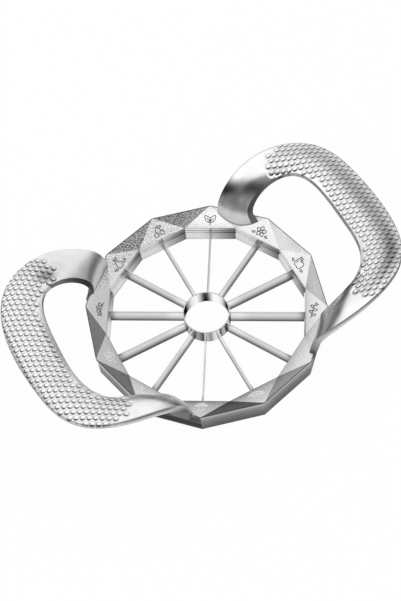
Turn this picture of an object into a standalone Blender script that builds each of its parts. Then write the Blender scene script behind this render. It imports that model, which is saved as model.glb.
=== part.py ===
"""Apple slicer: a faceted twelve-sided ring with two ribbon loop handles, twelve blades and a corer tube."""

import math

import bmesh
import bpy
from mathutils import Matrix, Vector

# Sizes in metres. The ring's axis is Z, and the blades' edges stand on z = 0.

SIDES = 12
BLADES = 12
SCREWS = 6

# Gaps between pieces that touch, and how far a cutter runs past what it cuts.
FIT_GAP = 0.0003
OVERRUN = 0.002

# Height of the blade tabs' upper side over the blades' edges, from which the heights of blades, tube and ring follow.
TAB_TOP_HEIGHT = 0.0087
TAB_DEPTH = 0.0039

# Ring: its bore's flat radius, from which the plan of ring and handles follows, and its edges against the tabs.
RING_INNER_FLAT_RADIUS = 0.052
RING_CORNER_SHARE = 1.223
RING_UNDERSIDE_HEIGHT = 0.0008
SEAM_UNDER_TAB_TOP = 0.0021
INNER_EDGE_OVER_TAB = 0.0021
FACET_RISE = 0.0052
CLAMP_INNER_STEP = 0.0006
LIP_HEIGHT = 0.0014
LIP_OVERHANG = 0.0004

# Blades, with a tab at both ends.
BLADE_TOP_OVER_TAB = 0.0013
BLADE_THICKNESS = 0.0005
BLADE_EDGE_THICKNESS = 0.00015
BLADE_GRIND_HEIGHT = 0.0025
RING_TAB_LENGTH = 0.005

# Corer tube.
TUBE_RADIUS = 0.0125
TUBE_WALL = 0.0006
TUBE_EDGE_WALL = 0.0003
TUBE_EDGE_HEIGHT = 0.0012
TUBE_RIM_OVER_TAB = 0.0008
TUBE_STEPS = 48

# Screws from below, through the clamp ring into the frame.
SCREW_CIRCLE_SHARE = 1.102
SCREW_SHANK_RADIUS = 0.00125
SCREW_SHANK_LENGTH = 0.0073
SCREW_HEAD_RADIUS = 0.0022
SCREW_HEAD_HEIGHT = 0.0014
SCREW_HEAD_RECESS = 0.0003
SCREW_STEPS = 16

# Handle: how far the loop reaches along X and Y as shares of the bore's flat radius, its rise, and the ribbon's edge and crown.
HANDLE_REACH_SHARE = 1.923
HANDLE_SIDE_SHARE = 1.615
HANDLE_RISE = 0.0475
RIBBON_EDGE_THICKNESS = 0.0034
RIBBON_CROWN = 0.0024
RIBBON_EDGE_ROUND = 0.001
RIBBON_FLARE = 0.0035
UNDERSIDE_INSET_SHARE = 0.05
RIBBON_SECTIONS = 72
RIBBON_TOP_POINTS = 9

# The two top edges of the ribbon, from its foot beside +Y round to its foot beside +X.
# Each row is a point of the outer edge, then of the inner edge, as shares of reach, side and rise.
RIBBON_CAGE_SHARES = (
    ((0.05, 0.70, 0.19), (0.24, 0.63, 0.19)),
    ((0.04, 0.71, 0.28), (0.23, 0.63, 0.27)),
    ((0.04, 0.72, 0.455), (0.22, 0.63, 0.36)),
    ((0.08, 0.765, 0.70), (0.20, 0.65, 0.50)),
    ((0.19, 0.87, 0.92), (0.235, 0.685, 0.67)),
    ((0.34, 0.965, 0.99), (0.315, 0.745, 0.82)),
    ((0.51, 0.995, 1.00), (0.43, 0.795, 0.925)),
    ((0.665, 0.92, 1.00), (0.54, 0.73, 0.97)),
    ((0.795, 0.73, 0.99), (0.635, 0.585, 0.94)),
    ((0.91, 0.54, 0.96), (0.715, 0.43, 0.93)),
    ((0.99, 0.34, 0.95), (0.785, 0.27, 0.95)),
    ((1.01, 0.15, 0.99), (0.805, 0.13, 0.955)),
    ((0.95, -0.02, 1.02), (0.77, 0.02, 0.895)),
    ((0.83, -0.17, 0.97), (0.675, -0.075, 0.755)),
    ((0.69, -0.26, 0.81), (0.595, -0.11, 0.54)),
    ((0.57, -0.305, 0.625), (0.59, -0.10, 0.38)),
    ((0.54, -0.31, 0.38), (0.605, -0.09, 0.28)),
    ((0.54, -0.31, 0.27), (0.605, -0.09, 0.22)),
    ((0.53, -0.31, 0.18), (0.595, -0.09, 0.17)),
)

# How far the ribbon's inner side wall spreads at its bottom beside each row of the cage, as shares of the flare.
RIBBON_FLARE_SHARES = (
    1.0, 1.0, 1.0, 1.0, 0.8, 0.3, 0.2, 0.1, 0.2, 0.3, 0.15, 0.1, 0.4, 0.75, 1.0, 1.0, 1.0, 1.0, 1.0,
)

SILVER = (0.78, 0.78, 0.79)
STEEL = (0.70, 0.70, 0.71)
MIRROR_STEEL = (0.82, 0.82, 0.83)
SCREW_STEEL = (0.55, 0.55, 0.57)

FULL_TURN = 2 * math.pi
SIDE_ANGLE = FULL_TURN / SIDES
BLADE_ANGLE = FULL_TURN / BLADES
TAB_LOW = TAB_TOP_HEIGHT - TAB_DEPTH
BLADE_HEIGHT = TAB_TOP_HEIGHT + BLADE_TOP_OVER_TAB
TUBE_HEIGHT = TAB_TOP_HEIGHT + TUBE_RIM_OVER_TAB
SEAM_HEIGHT = TAB_TOP_HEIGHT - SEAM_UNDER_TAB_TOP
INNER_EDGE_HEIGHT = TAB_TOP_HEIGHT + INNER_EDGE_OVER_TAB
OUTER_EDGE_HEIGHT = INNER_EDGE_HEIGHT + FACET_RISE
RING_CORNER_RADIUS = RING_INNER_FLAT_RADIUS * RING_CORNER_SHARE
SCREW_CIRCLE_RADIUS = RING_INNER_FLAT_RADIUS * SCREW_CIRCLE_SHARE
HANDLE_REACH = RING_INNER_FLAT_RADIUS * HANDLE_REACH_SHARE
HANDLE_SIDE = RING_INNER_FLAT_RADIUS * HANDLE_SIDE_SHARE
WALL_CORNER_RADIUS = RING_CORNER_RADIUS - LIP_OVERHANG
RING_INNER_CORNER_RADIUS = RING_INNER_FLAT_RADIUS / math.cos(SIDE_ANGLE / 2)
CLAMP_INNER_FLAT_RADIUS = RING_INNER_FLAT_RADIUS - CLAMP_INNER_STEP
CLAMP_INNER_CORNER_RADIUS = CLAMP_INNER_FLAT_RADIUS / math.cos(SIDE_ANGLE / 2)
BLADE_INNER_END = TUBE_RADIUS + FIT_GAP
BLADE_OUTER_END = CLAMP_INNER_FLAT_RADIUS - FIT_GAP
RING_TAB_END = BLADE_OUTER_END + RING_TAB_LENGTH


def clear_scene():
    for item in list(bpy.data.objects):
        bpy.data.objects.remove(item, do_unlink=True)


def new_collection(name, hidden=False):
    made = bpy.data.collections.new(name)
    made.hide_render = hidden
    bpy.context.scene.collection.children.link(made)
    return made


def new_material(name, colour, roughness):
    made = bpy.data.materials.new(name)
    made.use_nodes = True
    shader = made.node_tree.nodes["Principled BSDF"]
    shader.inputs["Base Color"].default_value = (*colour, 1)
    shader.inputs["Roughness"].default_value = roughness
    shader.inputs["Metallic"].default_value = 1
    return made


def add_object(name, work, collection, material=None):
    """Turns a bmesh into a named object in the collection."""
    bmesh.ops.recalc_face_normals(work, faces=work.faces)
    mesh = bpy.data.meshes.new(name)
    work.to_mesh(mesh)
    work.free()
    made = bpy.data.objects.new(name, mesh)
    collection.objects.link(made)
    if material:
        mesh.materials.append(material)
    return made


def add_cutter(name, work, collection):
    made = add_object(name, work, collection)
    made.hide_render = True
    made.display_type = "WIRE"
    return made


def cut(target, cutter):
    step = target.modifiers.new(cutter.name, "BOOLEAN")
    step.operation = "DIFFERENCE"
    step.solver = "EXACT"
    step.object = cutter


def add_box(work, low, high, turn=0):
    """A box between two corners, then turned about the ring's axis."""
    low, high = Vector(low), Vector(high)
    place = Matrix.Rotation(turn, 4, "Z") @ Matrix.Translation((low + high) / 2)
    place = place @ Matrix.Diagonal((*(high - low), 1))
    bmesh.ops.create_cube(work, size=1, matrix=place)


def around(radius, height, first_angle):
    """The corners of a regular polygon about the ring's axis."""
    corners = []
    for side in range(SIDES):
        angle = first_angle + side * SIDE_ANGLE
        corners.append((radius * math.cos(angle), radius * math.sin(angle), height))
    return corners


def ring_band(outer_profile, inner_radius, inner_top):
    """A ring between its outer profile, given top to bottom as (corner radius, height), and its bore.

    The bore's corners stand half a side on from the outer ones, so the top and the bottom are triangles.
    """
    work = bmesh.new()
    half_side = SIDE_ANGLE / 2
    bottom = outer_profile[-1][1]
    outer = [
        [work.verts.new(point) for point in around(radius, height, 0)] for radius, height in outer_profile
    ]
    inner_high = [work.verts.new(point) for point in around(inner_radius, inner_top, half_side)]
    inner_low = [work.verts.new(point) for point in around(inner_radius, bottom, half_side)]
    for here in range(SIDES):
        after = (here + 1) % SIDES
        work.faces.new((outer[0][here], outer[0][after], inner_high[here]))
        work.faces.new((outer[0][after], inner_high[after], inner_high[here]))
        work.faces.new((outer[-1][after], outer[-1][here], inner_low[here]))
        work.faces.new((inner_low[after], outer[-1][after], inner_low[here]))
        work.faces.new((inner_low[after], inner_low[here], inner_high[here], inner_high[after]))
        for above, below in zip(outer, outer[1:]):
            work.faces.new((below[here], below[after], above[after], above[here]))
    return work


def turned(name, profile, steps, collection, material):
    """A closed profile in the XZ plane turned about Z."""
    work = bmesh.new()
    corners = [work.verts.new((x, 0, z)) for x, z in profile]
    closed = profile[0][0] > 0
    for here in range(len(corners) - (0 if closed else 1)):
        work.edges.new((corners[here], corners[(here + 1) % len(corners)]))
    mesh = bpy.data.meshes.new(name)
    work.to_mesh(mesh)
    work.free()
    made = bpy.data.objects.new(name, mesh)
    collection.objects.link(made)
    mesh.materials.append(material)
    screw = made.modifiers.new("Turn", "SCREW")
    screw.angle = FULL_TURN
    screw.steps = steps
    screw.render_steps = steps
    screw.use_merge_vertices = True
    screw.merge_threshold = 0.00001
    screw.use_smooth_shade = False
    return made


def screw_profile():
    """The screw from its shank's end down to its head, on its own axis at the right heights."""
    head_low = RING_UNDERSIDE_HEIGHT + SCREW_HEAD_RECESS
    head_high = head_low + SCREW_HEAD_HEIGHT
    shank_end = head_high + SCREW_SHANK_LENGTH
    return (
        (0, shank_end),
        (SCREW_SHANK_RADIUS, shank_end),
        (SCREW_SHANK_RADIUS, head_high),
        (SCREW_HEAD_RADIUS, head_high),
        (SCREW_HEAD_RADIUS, head_low),
        (0, head_low),
    )


def screw_angle(number):
    return SIDE_ANGLE / 2 + number * FULL_TURN / SCREWS


def add_cylinder(work, radius, low, high, place, steps):
    move = place @ Matrix.Translation((0, 0, (low + high) / 2))
    bmesh.ops.create_cone(
        work, cap_ends=True, segments=steps, radius1=radius, radius2=radius, depth=high - low, matrix=move
    )


def add_screw_cutters(collection):
    """Two cutters, because a head's bore and a shank's bore overlap: one for each."""
    heads = bmesh.new()
    shanks = bmesh.new()
    head_high = RING_UNDERSIDE_HEIGHT + SCREW_HEAD_RECESS + SCREW_HEAD_HEIGHT
    for number in range(SCREWS):
        place = Matrix.Rotation(screw_angle(number), 4, "Z") @ Matrix.Translation((SCREW_CIRCLE_RADIUS, 0, 0))
        add_cylinder(
            heads,
            SCREW_HEAD_RADIUS + FIT_GAP,
            RING_UNDERSIDE_HEIGHT - OVERRUN,
            head_high + FIT_GAP,
            place,
            SCREW_STEPS,
        )
        add_cylinder(
            shanks,
            SCREW_SHANK_RADIUS + FIT_GAP,
            head_high,
            head_high + SCREW_SHANK_LENGTH + FIT_GAP,
            place,
            SCREW_STEPS,
        )
    return add_cutter("head_bores", heads, collection), add_cutter("shank_bores", shanks, collection)


def add_tab_cutter(name, inner, outer, collection):
    """Slots round all the tabs between two radii, one gap wider than a tab each way."""
    work = bmesh.new()
    half_width = BLADE_THICKNESS / 2 + FIT_GAP
    for number in range(BLADES):
        add_box(
            work,
            (inner, -half_width, TAB_LOW - FIT_GAP),
            (outer, half_width, TAB_TOP_HEIGHT + FIT_GAP),
            number * BLADE_ANGLE,
        )
    return add_cutter(name, work, collection)


def blade_mesh():
    """A blade along +X: a ground lower edge, a tab into the ring and a tab through the tube's wall."""
    work = bmesh.new()
    half = BLADE_THICKNESS / 2
    add_box(work, (BLADE_INNER_END, -half, 0), (BLADE_OUTER_END, half, BLADE_HEIGHT))
    for height in (BLADE_GRIND_HEIGHT, TAB_LOW, TAB_TOP_HEIGHT):
        bmesh.ops.bisect_plane(
            work,
            geom=work.verts[:] + work.edges[:] + work.faces[:],
            plane_co=(0, 0, height),
            plane_no=(0, 0, 1),
        )
    for corner in work.verts:
        if corner.co.z < BLADE_GRIND_HEIGHT / 2:
            corner.co.y *= BLADE_EDGE_THICKNESS / BLADE_THICKNESS
    work.normal_update()
    for way, length in ((1, RING_TAB_LENGTH), (-1, TUBE_WALL + FIT_GAP)):
        root = [
            face
            for face in work.faces
            if face.normal.x * way > 0.5 and TAB_LOW < face.calc_center_median().z < TAB_TOP_HEIGHT
        ]
        grown = bmesh.ops.extrude_discrete_faces(work, faces=root)["faces"]
        moved = {corner for face in grown for corner in face.verts}
        bmesh.ops.translate(work, verts=list(moved), vec=(way * length, 0, 0))
    return work


def spline_point(cage, place):
    """A point of the uniform cubic spline that starts and ends on the cage's own ends."""
    first, last = cage[0], cage[-1]
    points = [first, first, *cage, last, last]
    spans = len(points) - 3
    span = min(int(place * spans), spans - 1)
    t = place * spans - span
    a, b, c, d = points[span : span + 4]
    return (
        a * (1 - t) ** 3
        + b * (3 * t**3 - 6 * t**2 + 4)
        + c * (-3 * t**3 + 3 * t**2 + 3 * t + 1)
        + d * t**3
    ) / 6


def ribbon_section(flare):
    """Points round the section, outer edge first.

    Each is its way across as a share of the width, its further way outwards and its height over the edge's top.
    """
    points = []
    for step in range(RIBBON_TOP_POINTS):
        across = 0.5 - step / (RIBBON_TOP_POINTS - 1)
        points.append((across, 0, RIBBON_CROWN * (1 - (2 * across) ** 2)))
    low = -RIBBON_EDGE_THICKNESS
    side = low + RIBBON_EDGE_ROUND
    under = 0.5 - UNDERSIDE_INSET_SHARE
    points += [(-0.5, -flare, side), (-under, -flare, low), (under, 0, low), (0.5, 0, side)]
    return points


def handle_mesh():
    """The ribbon lofted through sections that turn, bank and widen along its loop."""
    scale = Vector((HANDLE_REACH, HANDLE_SIDE, HANDLE_RISE))
    outer_cage = [Vector(row[0]) * scale for row in RIBBON_CAGE_SHARES]
    inner_cage = [Vector(row[1]) * scale for row in RIBBON_CAGE_SHARES]
    places = [step / RIBBON_SECTIONS for step in range(RIBBON_SECTIONS + 1)]
    outer = [spline_point(outer_cage, place) for place in places]
    inner = [spline_point(inner_cage, place) for place in places]
    middle = [(a + b) / 2 for a, b in zip(outer, inner)]
    work = bmesh.new()
    rows = []
    for here in range(len(places)):
        ahead = middle[min(here + 1, len(middle) - 1)] - middle[max(here - 1, 0)]
        across = outer[here] - inner[here]
        up = ahead.cross(across).normalized()
        outwards = across.normalized()
        section = ribbon_section(RIBBON_FLARE * spline_point(RIBBON_FLARE_SHARES, places[here]))
        row = [
            middle[here] + across * share + outwards * further + up * height for share, further, height in section
        ]
        rows.append([work.verts.new(point) for point in row])
    count = len(rows[0])
    for first, second in zip(rows, rows[1:]):
        for here in range(count):
            after = (here + 1) % count
            work.faces.new((first[here], first[after], second[after], second[here]))
    work.faces.new(rows[0])
    work.faces.new(rows[-1])
    return work


def add_foot_cutter(collection):
    """The ring's own block grown by the gap, which seats the handles' feet on its facets."""
    fall = OUTER_EDGE_HEIGHT - INNER_EDGE_HEIGHT
    run = RING_CORNER_RADIUS * math.cos(SIDE_ANGLE / 2) - RING_INNER_CORNER_RADIUS
    raised = FIT_GAP * math.hypot(fall, run) / run
    block_radius = RING_CORNER_RADIUS + FIT_GAP
    work = ring_band(
        ((block_radius, OUTER_EDGE_HEIGHT + raised), (block_radius, -OVERRUN)),
        RING_INNER_CORNER_RADIUS - FIT_GAP,
        INNER_EDGE_HEIGHT + raised,
    )
    return add_cutter("feet_seat", work, collection)


def build():
    clear_scene()
    parts = new_collection("apple_slicer")
    cutters = new_collection("cutters", hidden=True)
    cast = new_material("cast_metal", SILVER, 0.35)
    handle_metal = new_material("satin_cast_metal", SILVER, 0.2)
    clamp_metal = new_material("clamp_metal", SILVER, 0.4)
    blade_steel = new_material("blade_steel", STEEL, 0.25)
    tube_steel = new_material("tube_steel", MIRROR_STEEL, 0.08)
    screw_steel = new_material("screw_steel", SCREW_STEEL, 0.3)

    tube_slots = add_tab_cutter("tube_slots", TUBE_RADIUS - OVERRUN, TUBE_RADIUS + OVERRUN, cutters)
    ring_slots = add_tab_cutter("ring_slots", BLADE_OUTER_END - OVERRUN, RING_TAB_END + FIT_GAP, cutters)
    head_bores, shank_bores = add_screw_cutters(cutters)

    frame = add_object(
        "upper_frame",
        ring_band(
            (
                (RING_CORNER_RADIUS, OUTER_EDGE_HEIGHT),
                (RING_CORNER_RADIUS, OUTER_EDGE_HEIGHT - LIP_HEIGHT),
                (WALL_CORNER_RADIUS, OUTER_EDGE_HEIGHT - LIP_HEIGHT),
                (WALL_CORNER_RADIUS, SEAM_HEIGHT + FIT_GAP),
            ),
            RING_INNER_CORNER_RADIUS,
            INNER_EDGE_HEIGHT,
        ),
        parts,
        cast,
    )
    cut(frame, ring_slots)
    cut(frame, shank_bores)

    clamp = add_object(
        "clamp_ring",
        ring_band(
            ((WALL_CORNER_RADIUS, SEAM_HEIGHT), (WALL_CORNER_RADIUS, RING_UNDERSIDE_HEIGHT)),
            CLAMP_INNER_CORNER_RADIUS,
            SEAM_HEIGHT,
        ),
        parts,
        clamp_metal,
    )
    cut(clamp, ring_slots)
    cut(clamp, head_bores)
    cut(clamp, shank_bores)

    feet_seat = add_foot_cutter(cutters)
    for name, turn in (("right_handle", 0), ("left_handle", math.pi)):
        handle = add_object(name, handle_mesh(), parts, handle_metal)
        handle.rotation_euler.z = turn
        cut(handle, feet_seat)

    tube = turned(
        "corer_tube",
        (
            (TUBE_RADIUS, TUBE_HEIGHT),
            (TUBE_RADIUS, 0),
            (TUBE_RADIUS - TUBE_EDGE_WALL, 0),
            (TUBE_RADIUS - TUBE_WALL, TUBE_EDGE_HEIGHT),
            (TUBE_RADIUS - TUBE_WALL, TUBE_HEIGHT),
        ),
        TUBE_STEPS,
        parts,
        tube_steel,
    )
    cut(tube, tube_slots)

    for number in range(BLADES):
        blade = add_object(f"blade_{number + 1:02d}", blade_mesh(), parts, blade_steel)
        blade.rotation_euler.z = number * BLADE_ANGLE

    for number in range(SCREWS):
        screw = turned(f"screw_{number + 1:02d}", screw_profile(), SCREW_STEPS, parts, screw_steel)
        angle = screw_angle(number)
        screw.location = (SCREW_CIRCLE_RADIUS * math.cos(angle), SCREW_CIRCLE_RADIUS * math.sin(angle), 0)


build()
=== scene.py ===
import math

import bmesh
import bpy
from mathutils import Matrix, Vector, bvhtree, kdtree


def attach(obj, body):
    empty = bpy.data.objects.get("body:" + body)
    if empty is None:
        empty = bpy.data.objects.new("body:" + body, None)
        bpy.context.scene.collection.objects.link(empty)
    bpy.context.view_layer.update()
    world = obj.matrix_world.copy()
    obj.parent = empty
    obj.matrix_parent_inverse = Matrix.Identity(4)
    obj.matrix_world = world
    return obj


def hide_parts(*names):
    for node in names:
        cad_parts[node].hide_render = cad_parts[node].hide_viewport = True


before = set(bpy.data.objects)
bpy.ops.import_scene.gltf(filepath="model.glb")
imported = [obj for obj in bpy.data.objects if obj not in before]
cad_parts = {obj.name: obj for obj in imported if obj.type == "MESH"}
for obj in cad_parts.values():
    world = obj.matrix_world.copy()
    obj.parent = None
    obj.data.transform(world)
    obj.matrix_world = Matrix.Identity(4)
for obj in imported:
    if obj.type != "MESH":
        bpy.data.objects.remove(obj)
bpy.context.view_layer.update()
scene = bpy.context.scene

fullTurn = 2 * math.pi
sideAngle = fullTurn / 12  # one side of the ring


# Small helpers

def turnZ(angle):
    return Matrix.Rotation(angle, 4, "Z")


def lift(height):
    return Matrix.Translation((0, 0, height))


def clamped(share):
    return min(1, max(0, share))


# From 0 to 1 without a corner
def smooth(share):
    share = clamped(share)
    return share * share * (3 - 2 * share)


def linkMesh(name, mesh, *materials):
    piece = bpy.data.objects.new(name, mesh)
    scene.collection.objects.link(piece)
    for material in materials:
        mesh.materials.append(material)
    return piece


def meshOf(name, work):
    mesh = bpy.data.meshes.new(name)
    work.to_mesh(mesh)
    work.free()
    return mesh


def newPiece(name, work, *materials, sharpAbove=35):
    bmesh.ops.remove_doubles(work, verts=work.verts[:], dist=1e-6)
    bmesh.ops.recalc_face_normals(work, faces=work.faces[:])
    piece = linkMesh(name, meshOf(name, work), *materials)
    piece.data.shade_smooth()
    piece.data.set_sharp_from_angle(angle=math.radians(sharpAbove))
    return piece


def standFor(piece, slotName, *nodes):
    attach(piece, "root")
    if nodes:
        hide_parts(*nodes)


# Materials. All of them are metal, so their look is colour, roughness and fine relief.

# Nodes of a material or of the world, with short ways to add more
class NodeTree:
    def __init__(self, owner):
        owner.use_nodes = True
        self.owner = owner
        self.tree = owner.node_tree

    # Inputs go by name or number. Each is a plain value or the output that feeds it
    def add(self, kind, inputs, **settings):
        node = self.tree.nodes.new("ShaderNode" + kind)
        for key, value in settings.items():
            setattr(node, key, value)
        for key, value in inputs.items():
            if isinstance(value, bpy.types.NodeSocket):
                self.join(value, node.inputs[key])
            else:
                node.inputs[key].default_value = value
        return node

    def join(self, output, inputSocket):
        self.tree.links.new(output, inputSocket)

    def place(self, useUv=False):
        return self.add("TexCoord", {}).outputs["UV" if useUv else "Object"]

    def attribute(self, name, output):
        return self.add("Attribute", {}, attribute_name=name).outputs[output]

    def stretched(self, vector, scale, turn=(0, 0, 0)):
        return self.add("Mapping", {"Vector": vector, "Scale": scale, "Rotation": turn}).outputs["Vector"]

    def noise(self, vector, scale, detail=2, rough=0.5):
        inputs = {"Vector": vector, "Scale": scale, "Detail": detail, "Roughness": rough}
        return self.add("TexNoise", inputs).outputs["Fac"]

    def ranged(self, value, low, high, fromLow=0.3, fromHigh=0.7, way="LINEAR"):
        inputs = {"Value": value, "From Min": fromLow, "From Max": fromHigh, "To Min": low, "To Max": high}
        return self.add("MapRange", inputs, interpolation_type=way).outputs["Result"]

    # How far a place lies along a direction
    def along(self, vector, direction):
        return self.add("VectorMath", {0: vector, 1: direction}, operation="DOT_PRODUCT").outputs["Value"]

    def length(self, vector):
        return self.add("VectorMath", {0: vector}, operation="LENGTH").outputs["Value"]

    def maths(self, how, first, second=0):
        return self.add("Math", {0: first, 1: second}, operation=how).outputs["Value"]

    def blendColours(self, share, first, second, way="MIX"):
        first, second = ((*colour, 1) if isinstance(colour, tuple) else colour for colour in (first, second))
        return self.add("Mix", {0: share, 6: first, 7: second}, data_type="RGBA", blend_type=way).outputs[2]

    def times(self, first, second):
        return self.blendColours(1, first, second, "MULTIPLY")

    def lightened(self, grey, share):
        return self.blendColours(share, grey, (1, 1, 1))

    # Grey against a value that runs from 0 to full
    def ramp(self, value, full, stops, way="LINEAR"):
        node = self.add("ValToRGB", {"Fac": self.maths("DIVIDE", value, full)})
        node.color_ramp.interpolation = way
        steps = node.color_ramp.elements
        for index, (place, grey) in enumerate(stops):
            step = steps[index] if index < 2 else steps.new(place / full)
            step.position = place / full
            step.color = (grey, grey, grey, 1)
        return node.outputs["Color"]

    # Grey against the height in millimetres
    def heightTone(self, place, top, stops):
        return self.ramp(self.along(place, (0, 0, 1000)), top, stops)

    def farFromAxis(self, place):
        return self.length(self.stretched(place, (1, 1, 0)))

    # Direction from the axis, as a share of a turn
    def turned(self, place):
        return self.add("TexGradient", {"Vector": place}, gradient_type="RADIAL").outputs["Fac"]

    # Grey against the direction from the axis, in degrees
    def roundTone(self, place, stops):
        return self.ramp(self.turned(place), 1, [(turn / 360 + 0.5, grey) for turn, grey in stops])

    # One grey for each side of the ring
    def sideTone(self, place, tones):
        half = len(tones) // 2
        stops = [(index / len(tones), grey) for index, grey in enumerate(tones[half:] + tones[:half])]
        return self.ramp(self.turned(place), 1, stops, "CONSTANT")

    # Painted shade on a bore's twelve panels, each toned towards one of its corners, out to a reach from the
    # axis
    def panelTone(self, place, stops, reach):
        share = self.maths("MULTIPLY", self.maths("ADD", self.turned(place), 1 / 24), 12)
        grey = self.ramp(self.maths("FRACT", share), 1, stops)
        return self.lightened(grey, self.maths("GREATER_THAN", self.farFromAxis(place), reach))

    def relief(self, height, depth, strength=1.0, before=None):
        inputs = {"Height": height, "Distance": depth, "Strength": strength}
        if before is not None:
            inputs["Normal"] = before
        return self.add("Bump", inputs).outputs["Normal"]

    # 1 for camera, glossy and transmission rays, 0 for the others
    def seenRays(self):
        rays = self.add("LightPath", {}).outputs
        seen = self.maths("MAXIMUM", rays["Is Camera Ray"], rays["Is Glossy Ray"])
        return self.maths("MAXIMUM", seen, rays["Is Transmission Ray"])

    # Ends a material with this shader
    def show(self, shader):
        self.join(shader, self.tree.nodes["Material Output"].inputs["Surface"])
        return self.owner

    def glow(self, colour, strength=1):
        return self.show(self.add("Emission", {"Color": colour, "Strength": strength}).outputs["Emission"])


class Surface(NodeTree):
    def __init__(self, name, colour, roughness, metallic=1):
        super().__init__(bpy.data.materials.new(name))
        self.shader = self.tree.nodes["Principled BSDF"]
        self.shader.inputs["Metallic"].default_value = metallic
        self.shader.inputs["Base Color"].default_value = (*colour, 1)
        self.shader.inputs["Roughness"].default_value = roughness

    def finish(self, colour, roughness, normal):
        for name, output in (("Base Color", colour), ("Roughness", roughness), ("Normal", normal)):
            self.join(output, self.shader.inputs[name])
        return self.owner


# Darkest and lightest grey of the grain, its roughness and depth, and the painted shade by height in
# millimetres
finishesAndShade = {
    # The lit and the shaded facets are one cast metal, the shaded one with painted shade in its greys
    "lightFacet": {
        "greys": (0.40, 0.94), "roughness": (0.18, 0.26), "grain": 0.00003, "ownFacetShade": True,
        "tones": ((10.8, 0.5), (11.0, 1), (15.7, 1), (15.9, 0.3)),
    },
    "darkFacet": {
        "greys": (0.02, 0.82), "roughness": (0.18, 0.26), "grain": 0.00005, "ownFacetShade": True,
        "tones": ((10.8, 1), (15.65, 1), (15.85, 0.15)),
    },
    "ringWall": {
        "greys": (0.80, 0.97), "roughness": (0.20, 0.28), "grain": 0.00002,
        "tones": ((6.6, 0.55), (10, 0.68), (12.2, 0.78), (13.0, 1), (14.9, 1), (15.3, 0.6), (15.7, 0.3)),
        # Painted shade on the wall, side by side from 0 degrees on
        "sideTones": (0.7, 0.8, 0.9, 0.9, 0.68, 0.9, 0.9, 1.0, 0.12, 0.62, 0.66, 0.7),
    },
    "ringBore": {
        "greys": (0.80, 0.96), "roughness": (0.16, 0.24), "grain": 0.000015,
        "tones": (
            (6.7, 0.35), (7.1, 1), (8.3, 1), (8.4, 0.2), (8.75, 0.2), (8.9, 1), (10.4, 0.95), (10.8, 0.8),
        ),
        # Painted shade across each panel of the bore, darker towards one of its corners
        "panelTones": ((0, 0.2), (0.08, 0.3), (0.25, 0.5), (0.5, 0.85), (0.7, 1), (1, 1)),
        "panelReach": 0.0560,  # the panels' painted shade ends there, from the axis
    },
}
# Painted shade of the clamp ring: where its panel shade ends, where its wall begins, and the wall's shade by
# height in millimetres
clampShade = {"panelReach": 0.0545, "wallFrom": 0.0590, "tones": ((0.8, 0.34), (2, 0.42), (6.6, 0.55))}
coarseSide = {"direction": (-0.64, 0.77, 0), "from": 0.044, "to": 0.054}  # where the grain is coarsest
handleFinish = {"blastedBelow": (0.0195, 0.0235), "satinBelow": (0.024, 0.038)}  # fading between heights


# Sand-cast silver metal: a fine grain in relief that is coarsest on one side, clouds in colour and gloss,
# and painted shade by height, by facet, by side and by panel
def castMetal(name, look):
    low, high = look["greys"]
    metal = Surface(name, (high, high, high), look["roughness"][0])
    place = metal.place()
    grain = metal.noise(place, 1850, detail=3, rough=0.6)
    clouds = metal.noise(place, 120)
    far = metal.along(place, coarseSide["direction"])
    coarse = metal.ranged(far, 0.22, 1.0, coarseSide["from"], coarseSide["to"])
    lack = metal.maths("MULTIPLY", coarse, metal.ranged(grain, 1, 0, 0.42, 0.55))
    full = metal.maths("MULTIPLY", metal.maths("SUBTRACT", 1, lack), metal.ranged(clouds, 0.86, 1.0))
    colour = metal.blendColours(full, (low, low, low * 1.01), (high, high, high * 1.01))
    colour = metal.times(colour, metal.heightTone(place, 16, look["tones"]))
    if "ownFacetShade" in look:
        colour = metal.times(colour, metal.attribute("facetShade", "Color"))
    if "sideTones" in look:
        colour = metal.times(colour, metal.sideTone(place, look["sideTones"]))
    if "panelTones" in look:
        colour = metal.times(colour, metal.panelTone(place, look["panelTones"], look["panelReach"]))
    dents = metal.relief(clouds, 0.00025, 0.35)
    normal = metal.relief(grain, look["grain"], before=dents)
    return metal.finish(colour, metal.ranged(clouds, *look["roughness"]), normal)


# Tumble-polished casting: bright, with soft waves, smears and hairline scratches, and darkened by the
# painted shade and painted reflections of its recess attribute
def satinHandleMetal():
    metal = Surface("handleSatin", (0.86, 0.86, 0.865), 0.16)
    place = metal.place()
    waves = metal.noise(place, 40, detail=1)
    scratches = metal.noise(metal.stretched(place, (900, 260, 400), (0.3, 0.2, 0.5)), 4, detail=3, rough=0.7)
    scratches = metal.ranged(scratches, 0.0, 0.05, 0.5, 0.75)
    smears = metal.noise(place, 160, detail=3)
    bright = metal.blendColours(metal.ranged(smears, 0, 1), (0.90, 0.90, 0.905), (0.98, 0.98, 0.985))
    # The recess attribute holds painted shade and painted reflections, down to near black
    colour = metal.blendColours(metal.attribute("recess", "Fac"), bright, (0.04, 0.04, 0.042))
    roughness = metal.maths("ADD", metal.ranged(smears, 0.16, 0.20), scratches)
    # Rougher near the ring, down to a pale blasted root
    height = metal.along(place, (0, 0, 1))
    roughness = metal.maths("ADD", roughness, metal.ranged(height, 0.24, 0, *handleFinish["satinBelow"]))
    blasted = metal.ranged(height, 0.08, 1, *handleFinish["blastedBelow"])
    metal.join(blasted, metal.shader.inputs["Metallic"])
    broad = metal.relief(waves, 0.0003, 0.02)
    return metal.finish(colour, roughness, metal.relief(scratches, 0.000004, 0.5, before=broad))


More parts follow.
